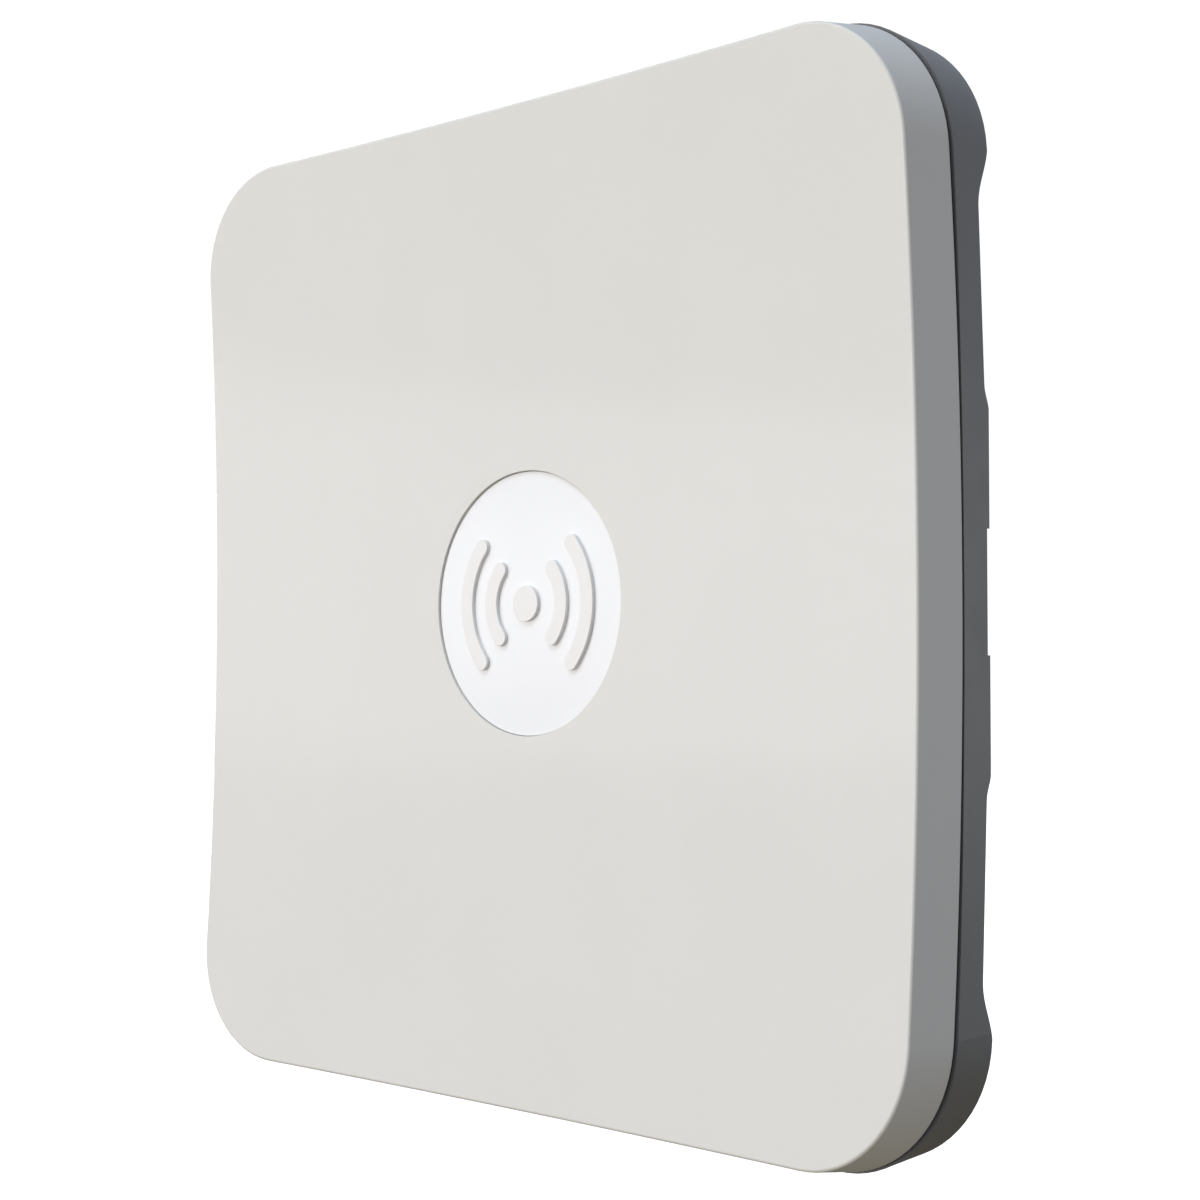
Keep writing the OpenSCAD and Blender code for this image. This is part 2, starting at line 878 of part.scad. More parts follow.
// Stand-off of the lever's wedge under the slot's lower edge, when the unit has slid up by d.
// The edge presses the wedge back as it climbs, so the lever turns in step with the unit.
function wedge_s(d) =
    recess_s - 0.12 + latch_turn * PI / 180 * d / slide_travel * (latch_pivot[1] - latch_slot_z[0] - d);

module latch_lever() color("darkorange") {
    root_s = plate_t - 0.5;
    low_z = latch_slot_z[0] - 2;
    top_z = latch_slot_z[0] + slide_travel + 0.5;
    wedge = [for (d = [0 : 2 : slide_travel]) [-wedge_s(d), latch_slot_z[0] + d]];
    difference() {
        union() {
            layer(latch_under_s, plate_t) rect(-latch_half, latch_half, latch_tip_z, latch_pivot[1]);
            axle(latch_pivot[0], latch_pivot[1], latch_barrel_r, 2 * latch_half);
            sideways(2 * latch_half - 2)
                polygon(concat([[-root_s, low_z], [-plate_t, low_z]], wedge,
                    [[-wedge_s(slide_travel), top_z], [-root_s, top_z]]));
        }
        axle(latch_pivot[0], latch_pivot[1], latch_pin_r + 0.05, 4 * latch_half);
    }
}

// ---------- output ----------

mounting_plate();
hanger_pegs();
latch_pin();
latch_lever();
front_cover();
badge();
cover_gasket();
rear_shell();
rubber_feet();
case_screws();
rating_label();
breather_vent();
light_pipes();
cable_grommet();
port_door();
reset_button();
reset_switch();
main_board();
board_screws();
ground_plane();
patch_antennas();
patch_spacers();
feed_pins();
processor_chip();
memory_chips();
processor_shield();
radio_chips();
radio_shields();
thermal_pads();
jack_shell();
jack_insert();
jack_contacts();
lan_transformer();
power_inductors();
capacitors();
status_leds();
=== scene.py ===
"""Looks of the flat square access point: finer shapes for what shows, materials, light and camera.

Lengths are in millimetres in the shape code and are turned into metres by MM. The floor and the lights are
in metres. A stand-off s is a distance in front of the wall, so it lies at y = -s, as in the CAD.
"""

import json
import math

import bmesh
import bpy
from mathutils import Matrix, Vector

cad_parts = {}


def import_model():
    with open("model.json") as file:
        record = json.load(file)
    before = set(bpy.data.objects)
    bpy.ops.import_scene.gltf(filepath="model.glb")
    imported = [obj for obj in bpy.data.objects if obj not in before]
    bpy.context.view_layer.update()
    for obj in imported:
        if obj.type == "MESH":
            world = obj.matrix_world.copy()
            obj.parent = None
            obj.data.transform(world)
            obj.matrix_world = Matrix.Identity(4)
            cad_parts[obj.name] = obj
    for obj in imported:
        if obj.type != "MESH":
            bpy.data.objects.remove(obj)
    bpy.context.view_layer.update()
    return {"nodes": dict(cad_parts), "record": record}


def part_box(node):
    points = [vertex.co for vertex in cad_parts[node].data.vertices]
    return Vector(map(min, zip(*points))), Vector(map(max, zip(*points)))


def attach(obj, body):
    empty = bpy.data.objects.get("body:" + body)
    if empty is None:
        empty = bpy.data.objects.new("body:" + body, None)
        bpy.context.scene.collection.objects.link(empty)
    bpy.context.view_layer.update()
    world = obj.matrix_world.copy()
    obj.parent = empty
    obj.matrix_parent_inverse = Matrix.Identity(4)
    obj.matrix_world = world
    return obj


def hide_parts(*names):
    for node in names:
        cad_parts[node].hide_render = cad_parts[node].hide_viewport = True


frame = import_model()

MM = 0.001

# ---------- driving sizes ----------

# The cover is widest at the seam, so its box gives the body's half width there
COVER_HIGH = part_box("front_cover")[1]
BODY_HALF = COVER_HIGH[0] / MM
BADGE_LOW, BADGE_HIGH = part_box("badge")
BADGE_R = BADGE_HIGH[0] / MM
BADGE_FLOOR_S = -BADGE_HIGH[1] / MM
SIGN_TOP_S = -BADGE_LOW[1] / MM
# How far the sign stands above the badge, and how far the badge lies below the middle of the face
SIGN_H = 0.7
BADGE_DROP = 0.2
BADGE_S = SIGN_TOP_S - SIGN_H
FACE_S = BADGE_S + BADGE_DROP
# Radius of the dish that the face follows, and of the face's corners
DISH_R = 960.0
CORNER_R = 21.4
# The skirt runs back from the face to the seam, and leans in by its draft towards the face
SKIRT_DEPTH = 9.6
SKIRT_DRAFT = 1.4
SEAM_S = FACE_S - SKIRT_DEPTH
# The centre of each corner's arc lies this far out from the middle, sideways and up or down
CORNER_AT = BODY_HALF - SKIRT_DRAFT - CORNER_R
COVER_WALL = 2.0
INNER_S = FACE_S - COVER_WALL
# Radius of the cover's round edges: at the front, at the seam, and round the badge's pocket
EDGE_R = 0.55
LIP_R = 0.25
POCKET_LIP_R = 0.12
# Gap between the badge and the wall of its pocket
BADGE_GAP = 0.1
POCKET_R = BADGE_R + BADGE_GAP


# ---------- mesh helpers ----------

def new_object(name, mesh, body):
    """Puts a mesh in the scene as a piece that rides on a CAD body."""
    piece = bpy.data.objects.new(name, mesh)
    bpy.context.scene.collection.objects.link(piece)
    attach(piece, body)
    return piece


def shade(mesh, sharp_angle=35):
    """Smooth shading, with edges sharper than the angle in degrees kept sharp."""
    for polygon in mesh.polygons:
        polygon.use_smooth = True
    mesh.set_sharp_from_angle(angle=math.radians(sharp_angle))


def weigh_normals(piece):
    """Large flat faces keep their own shading next to small rounded edges."""
    modifier = piece.modifiers.new("weighted_normals", "WEIGHTED_NORMAL")
    modifier.keep_sharp = True


def loft(mesh_name, rings):
    """A closed mesh through rings of (x, s, z) points in millimetres, with a flat cap at each end."""
    build = bmesh.new()
    loops = [[build.verts.new((x * MM, -s * MM, z * MM)) for x, s, z in ring] for ring in rings]
    count = len(rings[0])
    for low, high in zip(loops, loops[1:]):
        for i in range(count):
            j = (i + 1) % count
            build.faces.new((low[i], low[j], high[j], high[i]))
    build.faces.new(loops[0][::-1])
    build.faces.new(loops[-1])
    bmesh.ops.recalc_face_normals(build, faces=build.faces)
    mesh = bpy.data.meshes.new(mesh_name)
    build.to_mesh(mesh)
    build.free()
    shade(mesh)
    return mesh


# ---------- the body's outline ----------

SIDE_STEPS = 28
CORNER_STEPS = 20
# Rounds of approximation that find where the skirt meets a dished surface
MEET_ROUNDS = 12


def quarter():
    """Stations up the right side and round the corner above it."""
    side = [(CORNER_AT, CORNER_AT * (2 * i / SIDE_STEPS - 1), 1, 0) for i in range(SIDE_STEPS)]
    angles = [math.radians(90 * i / CORNER_STEPS) for i in range(CORNER_STEPS)]
    return side + [(CORNER_AT, CORNER_AT, math.cos(angle), math.sin(angle)) for angle in angles]


def outline():
    """Stations round the body: each is (centre x, centre z, normal x, normal z), where the outline of half
    width h passes through centre + normal * (h - CORNER_AT)."""
    stations = []
    for turn in (0, 90, 180, 270):
        cos, sin = math.cos(math.radians(turn)), math.sin(math.radians(turn))
        for cx, cz, nx, nz in quarter():
            centre = (cx * cos - cz * sin, cx * sin + cz * cos)
            normal = (nx * cos - nz * sin, nx * sin + nz * cos)
            stations.append(centre + normal)
    return stations


STATIONS = outline()


def at(station, half):
    """The outline's point at a station, for a half width."""
    cx, cz, nx, nz = station
    return cx + nx * (half - CORNER_AT), cz + nz * (half - CORNER_AT)


def dish_s(x, z, middle_s):
    """Stand-off of the dished surface whose middle lies at middle_s."""
    radius = DISH_R + FACE_S - middle_s
    return middle_s + radius - math.sqrt(radius ** 2 - x ** 2 - z ** 2)


def skirt_half(s):
    """Half width of the cover's drafted skirt at a stand-off."""
    seam_side_s = SEAM_S + BODY_HALF ** 2 / (2 * DISH_R)
    return BODY_HALF - SKIRT_DRAFT / SKIRT_DEPTH * (s - seam_side_s)


def meet(station, middle_s, inset=0):
    """Where the skirt, moved in by the inset, meets a dished surface: (half width, stand-off)."""
    s = middle_s
    for _ in range(MEET_ROUNDS):
        half = skirt_half(s) - inset
        s = dish_s(*at(station, half), middle_s)
    return half, s


def fillet_point(station, middle_s, radius, t, into):
    """A point on the round edge between a dished surface and the skirt. t goes from 0 on the dish to 1 on the
    skirt, and into is +1 where the body lies behind the dish and -1 where it lies in front of it."""
    half, s = meet(station, middle_s)
    x, z = at(station, half)
    _, _, nx, nz = station
    slope = (x * nx + z * nz) / DISH_R
    along_dish = Vector((-1, -slope)).normalized()
    along_skirt = Vector((SKIRT_DRAFT / SKIRT_DEPTH, -1)).normalized() * into
    corner = Vector((half, s))
    opening = along_dish.angle(along_skirt)
    reach = radius / math.tan(opening / 2)
    middle = corner + (along_dish + along_skirt).normalized() * radius / math.sin(opening / 2)
    start = corner + along_dish * reach - middle
    end = corner + along_skirt * reach - middle
    swept = math.pi - opening
    point = middle + (start * math.sin((1 - t) * swept) + end * math.sin(t * swept)) / math.sin(swept)
    x, z = at(station, point[0])
    return x, point[1], z


def fillet(middle_s, radius, t, into):
    """A ring of such points, all round the body."""
    return [fillet_point(station, middle_s, radius, t, into) for station in STATIONS]


def spread(radius, t, middle_s, edge):
    """A ring on a dished surface, between a circle at t = 0 and the edge ring at t = 1."""
    ring = []
    for x, _, z in edge:
        angle = math.atan2(z, x)
        px = (1 - t) * radius * math.cos(angle) + t * x
        pz = (1 - t) * radius * math.sin(angle) + t * z
        ring.append((px, dish_s(px, pz, middle_s), pz))
    return ring


# ---------- front cover ----------

FACE_RINGS = 24
EDGE_RINGS = 9
# Where the other rings lie: on the pocket's floor as parts of its radius, round the lips as parts of the
# turn, and on the cover's inner side as parts of the way out from the small circle in its middle
FLOOR_PARTS = (0.3, 0.7, 1)
LIP_PARTS = (0, 0.33, 0.66, 1)
INNER_PARTS = (0.75, 0.5, 0.25, 0)
INNER_MIDDLE_R = 5


def pocket_floor(part, edge):
    """A ring on the flat floor of the badge's pocket, at a part of its radius."""
    return [(x, BADGE_FLOOR_S, z) for x, _, z in spread(POCKET_R * part, 0, FACE_S, edge)]


def pocket_lip(t, edge):
    """A ring on the rounded upper edge of the badge's pocket, from its wall at t = 0 to the face at t = 1."""
    angle = t * math.pi / 2
    ring = spread(POCKET_R + POCKET_LIP_R * (1 - math.cos(angle)), 0, FACE_S, edge)
    return [(x, s - POCKET_LIP_R * (1 - math.sin(angle)), z) for x, s, z in ring]


def inner_edge(middle_s):
    """The ring where the inner side of the skirt's wall meets a dished surface."""
    ring = []
    for station in STATIONS:
        half, s = meet(station, middle_s, COVER_WALL)
        x, z = at(station, half)
        ring.append((x, s, z))
    return ring


def front_cover():
    """The dished cover: rings from the pocket's floor over the face, back along the skirt and in again."""
    edge = fillet(FACE_S, EDGE_R, 0, 1)
    pocket = [pocket_floor(part, edge) for part in FLOOR_PARTS]
    # The last ring of the pocket's lip is the first of the face
    pocket += [pocket_lip(t, edge) for t in LIP_PARTS[:-1]]
    face = [spread(POCKET_R + POCKET_LIP_R, i / FACE_RINGS, FACE_S, edge) for i in range(FACE_RINGS)]
    rim = [fillet(FACE_S, EDGE_R, i / EDGE_RINGS, 1) for i in range(EDGE_RINGS + 1)]
    lip = [fillet(SEAM_S, LIP_R, t, -1) for t in reversed(LIP_PARTS)]
    wall = [inner_edge(SEAM_S), inner_edge(INNER_S)]
    inner = [spread(INNER_MIDDLE_R, t, INNER_S, wall[1]) for t in INNER_PARTS]
    mesh = loft("front_cover", pocket + face + rim + lip + wall + inner)
    piece = new_object("front_cover_shell", mesh, "unit")
    weigh_normals(piece)
    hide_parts("front_cover")
    return piece


# ---------- badge ----------

SIGN_DOT_R = 3.2
SIGN_ARC_R = (9.0, 15.5)
SIGN_ARC_W = 3.0
# Half of the angle that each arc of the sign spans, in degrees
SIGN_HALF_ANGLE = 42
# How deep the sign reaches into the badge
SIGN_FOOT = 0.1
BADGE_BEVEL = 0.1
BADGE_STEPS = 96
DOT_STEPS = 48
SIGN_ARC_STEPS = 24
SIGN_END_STEPS = 12


def arc(centre, radius, start, end, steps):
    """Points on an arc between two angles in degrees, with both its ends."""
    angles = [math.radians(start + (end - start) * i / steps) for i in range(steps + 1)]
    return [(centre[0] + radius * math.cos(angle), centre[1] + radius * math.sin(angle)) for angle in angles]


def circle(radius, steps):
    """Points of a circle round the middle."""
    return arc((0, 0), radius, 0, 360, steps)[:-1]


def sign_arc(radius, facing):
    """Closed outline of one of the sign's arcs, with round ends, centred on a direction in degrees."""
    half = SIGN_ARC_W / 2
    low, high = facing - SIGN_HALF_ANGLE, facing + SIGN_HALF_ANGLE
    low_end, high_end = arc((0, 0), radius, low, high, 1)
    outer = arc((0, 0), radius + half, low, high, SIGN_ARC_STEPS)
    inner = arc((0, 0), radius - half, high, low, SIGN_ARC_STEPS)
    high_cap = arc(high_end, half, high, high + 180, SIGN_END_STEPS)[1:-1]
    low_cap = arc(low_end, half, low + 180, low + 360, SIGN_END_STEPS)[1:-1]
    return outer + high_cap + inner + low_cap


def plate(name, outlines, s_low, s_high):
    """Mesh of flat plates of one thickness, from (x, z) outlines, with rounded edges all over."""
    curve = bpy.data.curves.new(name, "CURVE")
    curve.dimensions = "2D"
    curve.fill_mode = "BOTH"
    curve.extrude = ((s_high - s_low) / 2 - BADGE_BEVEL) * MM
    curve.bevel_depth = BADGE_BEVEL * MM
    curve.bevel_resolution = 3
    curve.offset = -BADGE_BEVEL * MM
    for points in outlines:
        spline = curve.splines.new("POLY")
        spline.points.add(len(points) - 1)
        for point, (x, z) in zip(spline.points, points):
            point.co = (x * MM, z * MM, 0, 1)
        spline.use_cyclic_u = True
    shape = bpy.data.objects.new(name, curve)
    bpy.context.scene.collection.objects.link(shape)
    bpy.context.view_layer.update()
    mesh = bpy.data.meshes.new_from_object(shape.evaluated_get(bpy.context.evaluated_depsgraph_get()))
    bpy.data.objects.remove(shape)
    bpy.data.curves.remove(curve)
    move = Matrix.Translation((0, -(s_low + s_high) / 2 * MM, 0))
    mesh.transform(move @ Matrix.Rotation(math.pi / 2, 4, "X"))
    shade(mesh, sharp_angle=50)
    return mesh


def badge():
    """White disc in the cover's pocket, and a plain raised sign on it: a dot between two pairs of arcs."""
    disc_mesh = plate("badge_disc", [circle(BADGE_R, BADGE_STEPS)], BADGE_FLOOR_S, BADGE_S)
    piece = new_object("badge_disc", disc_mesh, "unit")
    weigh_normals(piece)
    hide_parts("badge")
    outlines = [circle(SIGN_DOT_R, DOT_STEPS)]
    outlines += [sign_arc(radius, facing) for radius in SIGN_ARC_R for facing in (0, 180)]
    sign_mesh = plate("badge_sign", outlines, BADGE_S - SIGN_FOOT, SIGN_TOP_S)
    sign = new_object("badge_sign", sign_mesh, "unit")
    weigh_normals(sign)
    return piece, sign


# ---------- shader nodes ----------

# Sockets of a Mix node that mixes colours
MIX_FACTOR, MIX_A, MIX_B, MIX_RESULT = 0, 6, 7, 2


class Tree:
    """Short calls for building a node tree. A value is a number, a colour or another node's socket."""

    def __init__(self, tree):
        self.tree = tree

    def add(self, kind, **inputs):
        node = self.tree.nodes.new(kind)
        for key, value in inputs.items():
            self.set(node.inputs[key.replace("_", " ")], value)
        return node

    def set(self, socket, value):
        if isinstance(value, bpy.types.NodeSocket):
            self.tree.links.new(value, socket)
        else:
            socket.default_value = value

    def map(self, value, low, high, start=0.0, end=1.0):
        """The value, stretched so that start to end becomes low to high."""
        node = self.add("ShaderNodeMapRange", Value=value, From_Min=start, From_Max=end,
                        To_Min=low, To_Max=high)
        return node.outputs["Result"]

    def math(self, operation, a, b):
        node = self.tree.nodes.new("ShaderNodeMath")
        node.operation = operation
        self.set(node.inputs[0], a)
        self.set(node.inputs[1], b)
        return node.outputs[0]

    def mix(self, factor, a, b):
        """Colour a where the factor is 0, and b where it is 1."""
        node = self.tree.nodes.new("ShaderNodeMix")
        node.data_type = "RGBA"
        self.set(node.inputs[MIX_FACTOR], factor)
        self.set(node.inputs[MIX_A], a)
        self.set(node.inputs[MIX_B], b)
        return node.outputs[MIX_RESULT]


class Finish(Tree):
    """A material with one shader. The keywords are values of the shader's own sockets."""

    def __init__(self, name, **sockets):
        self.material = bpy.data.materials.new(name)
        self.material.use_nodes = True
        super().__init__(self.material.node_tree)
        self.shader = self.tree.nodes["Principled BSDF"]
        for key, value in sockets.items():
            self.shader.inputs[key.replace("_", " ")].default_value = value

    def place(self):
        """The point on the object, in metres in the row frame."""
        return self.add("ShaderNodeTexCoord").outputs["Object"]

    def noise(self, size_mm, detail=3.0, roughness=0.55, vector=None):
        """Soft noise from 0 to 1, with spots of about the given size."""
        node = self.add("ShaderNodeTexNoise", Vector=vector or self.place(), Scale=1 / (size_mm * MM),
                        Detail=detail, Roughness=roughness)
        return node.outputs["Fac"]

    def edges(self):
        """How far a point lies on an outward edge, from 0 to 1."""
        pointed = self.add("ShaderNodeNewGeometry").outputs["Pointiness"]
        return self.map(pointed, 0.0, 1.0, start=0.52, end=0.60)

    def bump(self, height, strength, distance_mm):
        """Shades the surface as if the height, from 0 to 1, raised it by up to the distance."""
        node = self.add("ShaderNodeBump", Height=height, Strength=strength, Distance=distance_mm * MM)
        self.set(self.shader.inputs["Normal"], node.outputs["Normal"])

    def color(self, value):
        self.set(self.shader.inputs["Base Color"], value)

    def rough(self, value):
        self.set(self.shader.inputs["Roughness"], value)


# ---------- materials ----------

def rgb(red, green, blue):
    """Linear colour from 0 to 255 display values."""
    def linear(value):
        value /= 255
        return value / 12.92 if value <= 0.04045 else ((value + 0.055) / 1.055) ** 2.4
    return linear(red), linear(green), linear(blue), 1.0


def scaled(color, factor):
    """The colour made lighter or darker."""
    return tuple(min(1.0, part * factor) for part in color[:3]) + (1.0,)


def moulded(name, color, grain_mm, grain, roughness, wear, dust, coat=0.0, gloss_spread=0.05, shine=0.5):
    """Moulded plastic: a fine spark-eroded grain, slow changes of tone and a lighter worn edge. The grain
    sets the strength of the bumps, wear how much the edges lighten, and dust how much the tone changes."""
    finish = Finish(name, Coat_Weight=coat, Coat_Roughness=0.08, Specular_IOR_Level=shine)
    cloud = finish.map(finish.noise(28, detail=2.0), 0, 1, start=0.35, end=0.65)
    speck = finish.map(finish.noise(0.9, detail=2.0), 0, 0.35, start=0.5, end=0.8)
    gloss = finish.noise(9, detail=3.0)
    toned = finish.mix(cloud, scaled(color, 1 - dust), scaled(color, 1 + dust))
    toned = finish.mix(speck, toned, scaled(color, 1 + 2 * dust))
    worn = finish.math("MULTIPLY", finish.edges(), wear)
    finish.color(finish.mix(worn, toned, scaled(color, 1.35)))
    finish.rough(finish.map(gloss, roughness - gloss_spread, roughness + gloss_spread, start=0.2, end=0.8))
    finish.bump(finish.noise(grain_mm, detail=2.0, roughness=0.6), strength=grain, distance_mm=0.05)
    return finish.material


def rubber(name, color):
    """Soft dull rubber with paler dust in patches."""
    finish = Finish(name, Specular_IOR_Level=0.35)
    dusty = finish.map(finish.noise(3, detail=4.0), 0, 1, start=0.4, end=0.7)
    finish.color(finish.mix(dusty, color, scaled(color, 1.8)))
    finish.rough(finish.map(finish.noise(1.2, detail=3.0), 0.72, 0.9, start=0.3, end=0.7))
    finish.bump(finish.noise(0.3, detail=2.0), strength=0.25, distance_mm=0.05)
    return finish.material


def metal(name, color, roughness, brush, brush_mm):
    """Drawn or rolled metal, with fine streaks and small dull spots."""
    finish = Finish(name, Metallic=1.0)
    stretched = finish.add("ShaderNodeMapping", Vector=finish.place(), Scale=brush)
    streak = finish.noise(brush_mm, detail=4.0, roughness=0.7, vector=stretched.outputs["Vector"])
    spot = finish.noise(2.5, detail=3.0)
    finish.color(finish.mix(finish.map(spot, 0, 1, start=0.45, end=0.75), color, scaled(color, 0.8)))
    streaked = finish.map(streak, roughness - 0.08, roughness + 0.12, start=0.3, end=0.7)
    finish.rough(finish.math("ADD", streaked, finish.map(spot, 0, 0.1)))
    finish.bump(streak, strength=0.15, distance_mm=0.03)
    return finish.material


def circuit_board(name):
    """Solder mask over copper: square-cornered tracks show as a slightly lighter, raised pattern."""
    finish = Finish(name, Coat_Weight=0.25, Coat_Roughness=0.2)
    flat = finish.add("ShaderNodeMapping", Vector=finish.place(), Rotation=(math.pi / 2, 0, 0))
    brick = finish.add("ShaderNodeTexBrick", Vector=flat.outputs["Vector"], Scale=260.0, Mortar_Size=0.06,
                       Mortar_Smooth=0.2, Brick_Width=1.7, Row_Height=0.32)
    tracks = finish.map(brick.outputs["Fac"], 0, 1, start=0.2, end=0.8)
    area = finish.map(finish.noise(9, detail=0.0), 0, 1, start=0.46, end=0.5)
    show = finish.math("MULTIPLY", tracks, area)
    finish.color(finish.mix(show, rgb(22, 74, 44), rgb(48, 118, 66)))
    finish.rough(finish.map(finish.noise(0.7, detail=3.0), 0.28, 0.42))
    finish.bump(show, strength=0.5, distance_mm=0.04)
    return finish.material


def clear(name, color):
    """Clear plastic or resin with a faint haze."""
    finish = Finish(name, Transmission_Weight=0.45, IOR=1.58)
    finish.color(finish.mix(finish.noise(4, detail=2.0), color, scaled(color, 0.92)))
    finish.rough(finish.map(finish.noise(0.8, detail=2.0), 0.08, 0.2))
    finish.bump(finish.noise(0.5, detail=2.0), strength=0.05, distance_mm=0.03)
    return finish.material


MOULDED = {
    "cover_plastic": dict(color=rgb(221, 220, 215), grain_mm=0.5, grain=0.06, roughness=0.46, wear=0.1,
                          dust=0.006, coat=0.15, gloss_spread=0.03),
    "shell_plastic": dict(color=rgb(118, 118, 118), grain_mm=0.45, grain=0.15, roughness=0.37, wear=0.2,
                          dust=0.03, shine=0.45),
    "badge_plastic": dict(color=rgb(241, 242, 244), grain_mm=0.3, grain=0.02, roughness=0.32, wear=0.03,
                          dust=0.003, coat=0.1, gloss_spread=0.015),
    "sign_plastic": dict(color=rgb(237, 236, 234), grain_mm=0.3, grain=0.04, roughness=0.4, wear=0.1,
                         dust=0.004, coat=0.1, gloss_spread=0.02),
    "plate_plastic": dict(color=rgb(74, 75, 79), grain_mm=0.5, grain=0.3, roughness=0.6, wear=0.35,
                          dust=0.08),
    "latch_plastic": dict(color=rgb(206, 203, 195), grain_mm=0.35, grain=0.08, roughness=0.42, wear=0.15,
                          dust=0.02),
    "label_film": dict(color=rgb(206, 206, 203), grain_mm=0.2, grain=0.05, roughness=0.38, wear=0.1,
                       dust=0.02),
    "vent_plastic": dict(color=rgb(48, 48, 50), grain_mm=0.4, grain=0.2, roughness=0.6, wear=0.3, dust=0.08),
    "button_plastic": dict(color=rgb(226, 224, 218), grain_mm=0.3, grain=0.06, roughness=0.4, wear=0.15,
                           dust=0.02),
    "switch_plastic": dict(color=rgb(40, 40, 42), grain_mm=0.3, grain=0.1, roughness=0.45, wear=0.3,
                           dust=0.06),
    "spacer_plastic": dict(color=rgb(232, 229, 218), grain_mm=0.3, grain=0.05, roughness=0.4, wear=0.1,
                           dust=0.02),
    "chip_epoxy": dict(color=rgb(44, 44, 47), grain_mm=0.12, grain=0.3, roughness=0.52, wear=0.4, dust=0.06),
    "jack_plastic": dict(color=rgb(42, 42, 45), grain_mm=0.3, grain=0.1, roughness=0.4, wear=0.3, dust=0.05),
    "ferrite": dict(color=rgb(84, 84, 88), grain_mm=0.25, grain=0.4, roughness=0.62, wear=0.35, dust=0.1),
}

# The brush scales the streaks along each axis: they are thin along an axis with a large number
METALS = {
    "plated_steel": dict(color=rgb(196, 198, 200), roughness=0.3, brush=(1, 1, 12), brush_mm=3),
    "ground_sheet": dict(color=rgb(214, 215, 217), roughness=0.22, brush=(40, 1, 1), brush_mm=8),
    "patch_metal": dict(color=rgb(214, 178, 118), roughness=0.26, brush=(1, 1, 40), brush_mm=8),
    "can_tinplate": dict(color=rgb(204, 206, 208), roughness=0.25, brush=(24, 1, 1), brush_mm=5),
    "jack_tinplate": dict(color=rgb(202, 202, 204), roughness=0.24, brush=(1, 1, 24), brush_mm=5),
    "contact_gold": dict(color=rgb(226, 190, 110), roughness=0.18, brush=(1, 1, 10), brush_mm=2),
    "capacitor_can": dict(color=rgb(208, 210, 213), roughness=0.2, brush=(8, 1, 8), brush_mm=2),
}

RUBBERS = {"soft_rubber": rgb(38, 38, 40), "gap_pad": rgb(142, 160, 182)}
CLEARS = {"clear_plastic": rgb(232, 238, 240), "led_resin": rgb(244, 240, 214)}


def materials():
    """One material for each slot of the record, and one more for the badge's raised sign."""
    made = {name: moulded(name, **look) for name, look in MOULDED.items()}
    made |= {name: metal(name, **look) for name, look in METALS.items()}
    made |= {name: rubber(name, color) for name, color in RUBBERS.items()}
    made |= {name: clear(name, color) for name, color in CLEARS.items()}
    made["board_laminate"] = circuit_board("board_laminate")
    return made


def paint(pieces):
    """Gives every CAD node the material of its slot, and every new piece the one that is named for it."""
    made = materials()
    slot_of = {row["node"]: row["material_slot"] for row in frame["record"]["subparts"]}
    for name, node in frame["nodes"].items():
        for place in node.material_slots:
            place.link = "OBJECT"
            place.material = made[slot_of[name]]
    for piece, material in pieces.items():
        piece.data.materials.clear()
        piece.data.materials.append(made[material])


# ---------- edges of the CAD nodes ----------

# Edges that turn by more than this angle, in degrees, are rounded
EDGE_ANGLE = 40
# Width of the rounded edge of each node, in millimetres
FINE_EDGE = {"rear_shell": 0.2, "port_door": 0.15, "mounting_plate": 0.25, "latch_lever": 0.2,
             "rubber_feet": 0.35, "hanger_pegs": 0.2, "case_screws": 0.15, "jack_shell": 0.1,
             "jack_insert": 0.12, "reset_button": 0.2, "reset_switch": 0.15, "breather_vent": 0.15,
             "cable_grommet": 0.1, "processor_chip": 0.1, "memory_chips": 0.1, "radio_chips": 0.1,
             "processor_shield": 0.12, "radio_shields": 0.12, "lan_transformer": 0.2,
             "power_inductors": 0.25, "capacitors": 0.25, "patch_spacers": 0.15, "board_screws": 0.12}


def round_edges():
    """A small rounding on the edges of the CAD nodes that stay."""
    for name, width in FINE_EDGE.items():
        node = frame["nodes"][name]
        bevel = node.modifiers.new("fine_edge", "BEVEL")
        bevel.width = width * MM
        bevel.segments = 2
        bevel.limit_method = "ANGLE"
        bevel.angle_limit = math.radians(EDGE_ANGLE)
        bevel.use_clamp_overlap = True
        weigh_normals(node)


# ---------- camera ----------

# The point that the camera looks at, and the direction and distance from there to the camera
AIM = Vector((9.2, -6.2, 0.6)) * MM
CAMERA_TURN = math.radians(44.9)
CAMERA_RISE = math.radians(-1.95)
CAMERA_AWAY = 387.3 * MM
LENS_MM = 65.4
SENSOR_MM = 36


def camera():
    """The camera stands to the right of the front, a little below the middle."""
    data = bpy.data.cameras.new("camera")
    data.lens = LENS_MM
    data.sensor_width = SENSOR_MM
    data.clip_start = 0.01
    view = bpy.data.objects.new("camera", data)
    bpy.context.scene.collection.objects.link(view)
    level = math.cos(CAMERA_RISE)
    toward = Vector((math.sin(CAMERA_TURN) * level, -math.cos(CAMERA_TURN) * level, math.sin(CAMERA_RISE)))
    view.location = AIM + toward * CAMERA_AWAY
    view.rotation_euler = toward.to_track_quat("Z", "Y").to_euler()
    bpy.context.scene.camera = view


# ---------- studio ----------

WHITE = (1.0, 1.0, 1.0)
FLOOR_Z = -1.6
FLOOR_HALF = 30
# The room's light on the object from above and from below, and the darker ground that its gloss reflects
SKY_LIGHT = (0.405, 0.445, 0.525, 1)
GROUND_LIGHT = (0.25, 0.228, 0.188, 1)
GROUND_SHINE = (0.11, 0.095, 0.06, 1)
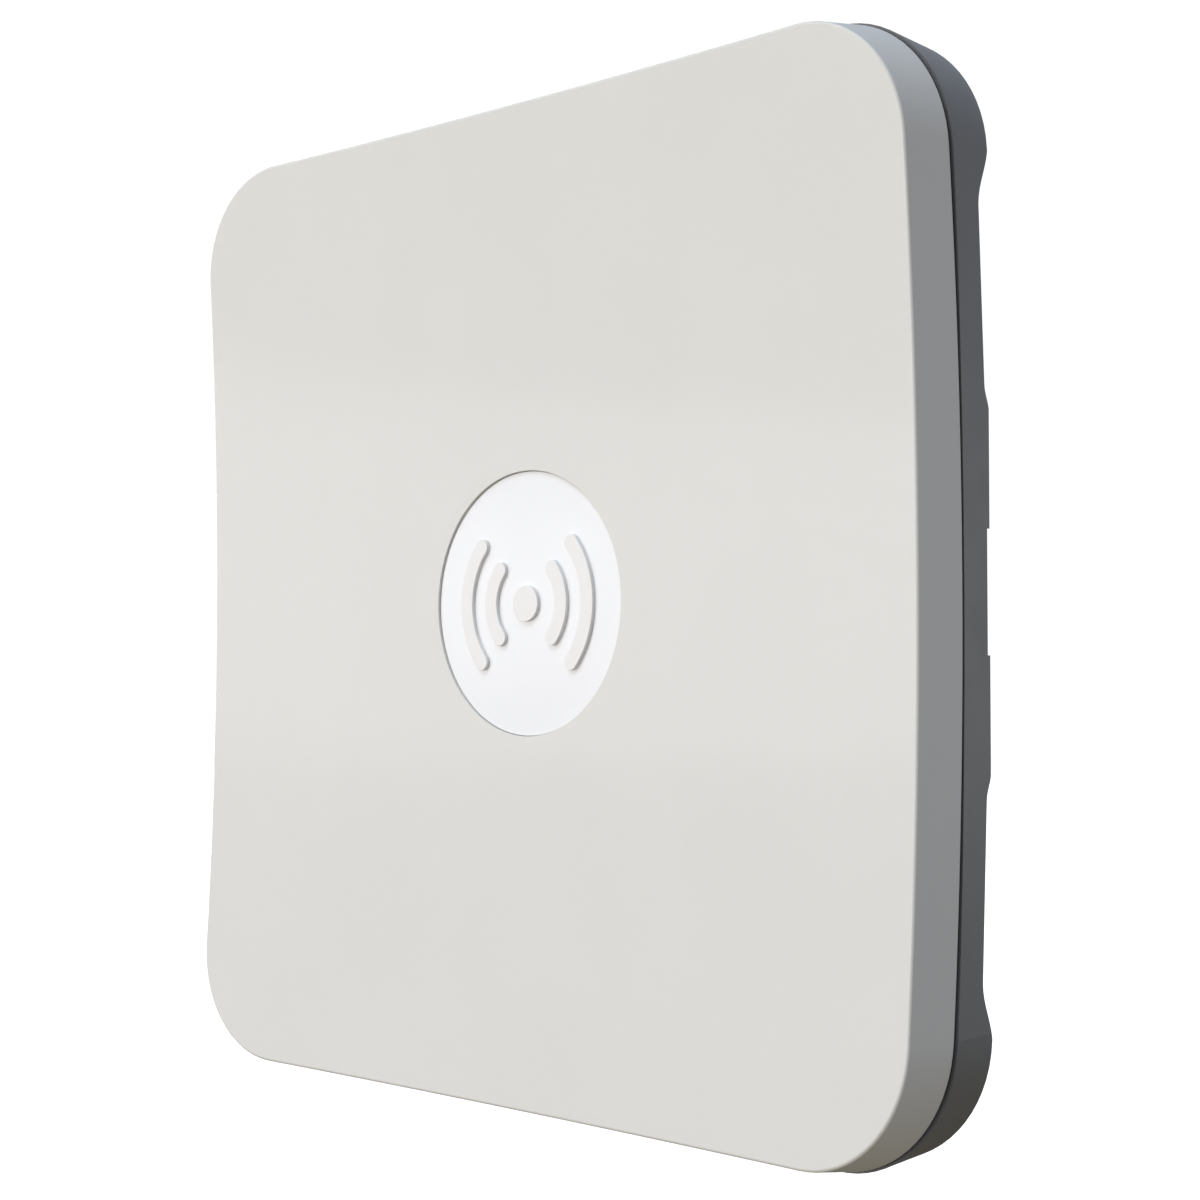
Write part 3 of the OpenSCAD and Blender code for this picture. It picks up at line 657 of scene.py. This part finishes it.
# Ground and sky blend where the Z of a direction lies between this far below 0 and this far above it
SKY_BLEND = 0.6
# How bright the room is to the camera
SEEN_STRENGTH = 1.05


def softbox(name, place, size, watts, color=WHITE, diffuse=True, glossy=True):
    """A rectangular light that faces the object, and that can be left out of its plain light or its gloss."""
    data = bpy.data.lights.new(name, "AREA")
    data.shape = "RECTANGLE"
    data.size, data.size_y = size
    data.energy = watts
    data.color = color
    light = bpy.data.objects.new(name, data)
    light.location = place
    light.rotation_euler = Vector(place).to_track_quat("Z", "Y").to_euler()
    light.visible_diffuse = diffuse
    light.visible_glossy = glossy
    bpy.context.scene.collection.objects.link(light)


def floor():
    """A wide plain floor, well below the object, which only the camera sees."""
    mesh = bpy.data.meshes.new("floor")
    corners = [(x * FLOOR_HALF, y * FLOOR_HALF, FLOOR_Z) for x, y in ((-1, -1), (1, -1), (1, 1), (-1, 1))]
    mesh.from_pydata(corners, [], [(0, 1, 2, 3)])
    ground = bpy.data.objects.new("floor", mesh)
    bpy.context.scene.collection.objects.link(ground)
    finish = Finish("floor_paint", Roughness=0.9, Emission_Strength=1.0, Emission_Color=(*WHITE, 1))
    finish.color(finish.mix(finish.noise(400, detail=2.0), (0.93, 0.93, 0.93, 1), (0.95, 0.95, 0.95, 1)))
    mesh.materials.append(finish.material)
    ground.visible_diffuse = False
    ground.visible_glossy = False


def world():
    """A white room to the camera. To the object it is dimmer: cool from above and warmer from below."""
    sky = bpy.data.worlds.new("studio")
    bpy.context.scene.world = sky
    sky.use_nodes = True
    room = Tree(sky.node_tree)
    seen = room.tree.nodes["Background"]
    seen.inputs["Color"].default_value = (*WHITE, 1)
    seen.inputs["Strength"].default_value = SEEN_STRENGTH
    rays = room.add("ShaderNodeLightPath").outputs
    direction = room.add("ShaderNodeTexCoord").outputs["Generated"]
    height = room.add("ShaderNodeSeparateXYZ", Vector=direction).outputs["Z"]
    upward = room.map(height, 0, 1, start=-SKY_BLEND, end=SKY_BLEND)
    upward.node.interpolation_type = "SMOOTHSTEP"
    ground = room.mix(rays["Is Glossy Ray"], GROUND_LIGHT, GROUND_SHINE)
    felt = room.add("ShaderNodeBackground", Color=room.mix(upward, ground, SKY_LIGHT))
    mixed = room.tree.nodes.new("ShaderNodeMixShader")
    room.set(mixed.inputs[0], rays["Is Camera Ray"])
    room.set(mixed.inputs[1], felt.outputs[0])
    room.set(mixed.inputs[2], seen.outputs[0])
    room.set(room.tree.nodes["World Output"].inputs["Surface"], mixed.outputs[0])


def studio():
    """Plain soft light. The band shows in the face's gloss, and the side light in the gloss of the shell."""
    scene = bpy.context.scene
    scene.view_settings.view_transform = "Standard"
    scene.view_settings.look = "None"
    camera()
    floor()
    world()
    softbox("key", (-0.9, -2.8, 0.2), (1.4, 1.4), 40.5, color=(1.0, 0.92, 0.84))
    softbox("band", (-1.46, -1.39, 0.079), (0.9, 0.208), 2.8)
    softbox("top", (-0.1, -0.7, 1.1), (0.5, 0.5), 6.6, color=(0.82, 0.92, 1.0), glossy=False)
    softbox("rear", (-0.9, 2.4, 0.15), (1.2, 1.2), 40)
    softbox("side", (1.29, 1.6, 0.01), (0.3, 0.5), 2.2, diffuse=False)


cover = front_cover()
badge_disc, badge_sign = badge()
round_edges()
paint({cover: "cover_plastic", badge_disc: "badge_plastic", badge_sign: "sign_plastic"})
studio()
